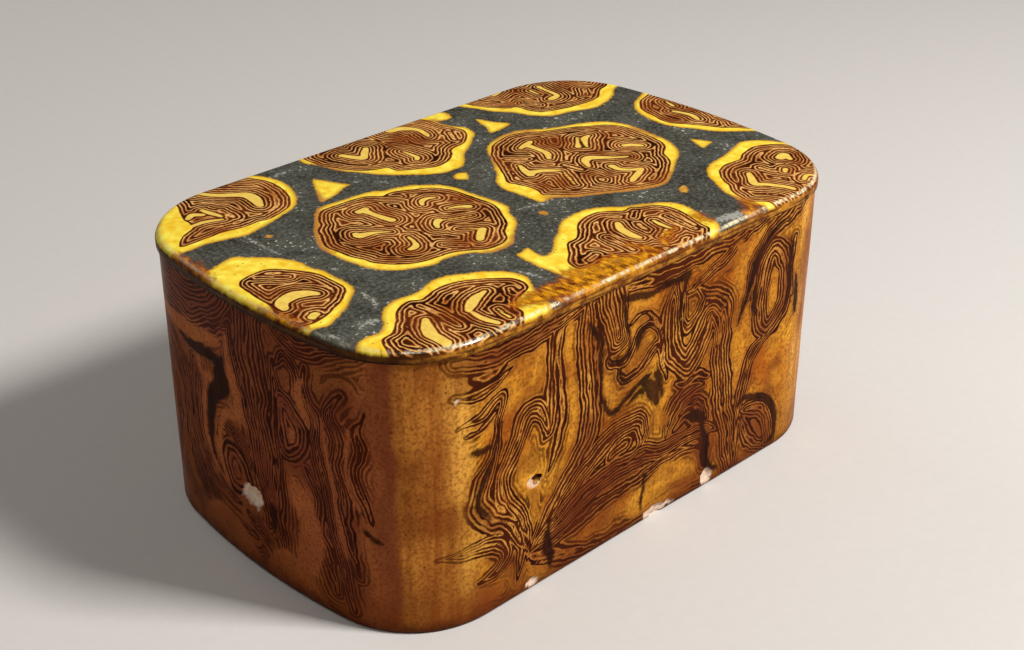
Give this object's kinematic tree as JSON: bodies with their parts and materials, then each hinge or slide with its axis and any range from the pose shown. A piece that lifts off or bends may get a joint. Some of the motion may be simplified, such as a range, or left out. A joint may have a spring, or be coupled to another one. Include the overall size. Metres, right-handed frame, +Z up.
{
  "type": "ceramic pillow",
  "caption": "Hollow slab-built ceramic pillow with rounded corners, marbled amber-glazed sides and a flat grey top inlaid with yellow-rimmed marbled roundels.",
  "frame": {"origin": "middle of the underside, on the table", "axes": "+X along the long sides, +Y from the front to the back, +Z up to the flat top"},
  "size_m": [0.15, 0.097, 0.069],
  "materials": {
    "buff_clay": "unglazed fired buff clay",
    "marbled_sheet": "clear amber glaze over clay marbled honey and dark brown",
    "amber_strip": "clear amber glaze over plain honey clay",
    "grey_ground": "thin worn glaze over charcoal grey clay",
    "yellow_clay": "thin glaze over yellow clay",
    "marbled_core": "thin glaze over clay marbled in fine dark and pale lines"
  },
  "bodies": {
    "root": {"base_slab": "buff_clay", "lid_slab": "buff_clay", "front_wall": "buff_clay", "back_wall": "buff_clay", "left_wall": "buff_clay", "right_wall": "buff_clay", "front_sheet": "marbled_sheet", "back_sheet": "marbled_sheet", "left_sheet": "marbled_sheet", "right_sheet": "marbled_sheet", "front_left_strip": "amber_strip", "front_right_strip": "amber_strip", "back_left_strip": "amber_strip", "back_right_strip": "amber_strip", "top_ground": "grey_ground", "filler_chips": "yellow_clay", "rim_back_left": "yellow_clay", "rim_back_middle": "yellow_clay", "rim_back_right": "yellow_clay", "rim_left_end": "yellow_clay", "rim_centre_left": "yellow_clay", "rim_centre_right": "yellow_clay", "rim_right_end": "yellow_clay", "rim_front_left": "yellow_clay", "rim_front_middle": "yellow_clay", "rim_front_right": "yellow_clay", "core_back_left": "marbled_core", "core_back_middle": "marbled_core", "core_back_right": "marbled_core", "core_left_end": "marbled_core", "core_centre_left": "marbled_core", "core_centre_right": "marbled_core", "core_right_end": "marbled_core", "core_front_left": "marbled_core", "core_front_middle": "marbled_core", "core_front_right": "marbled_core"}
  },
  "joints": []
}
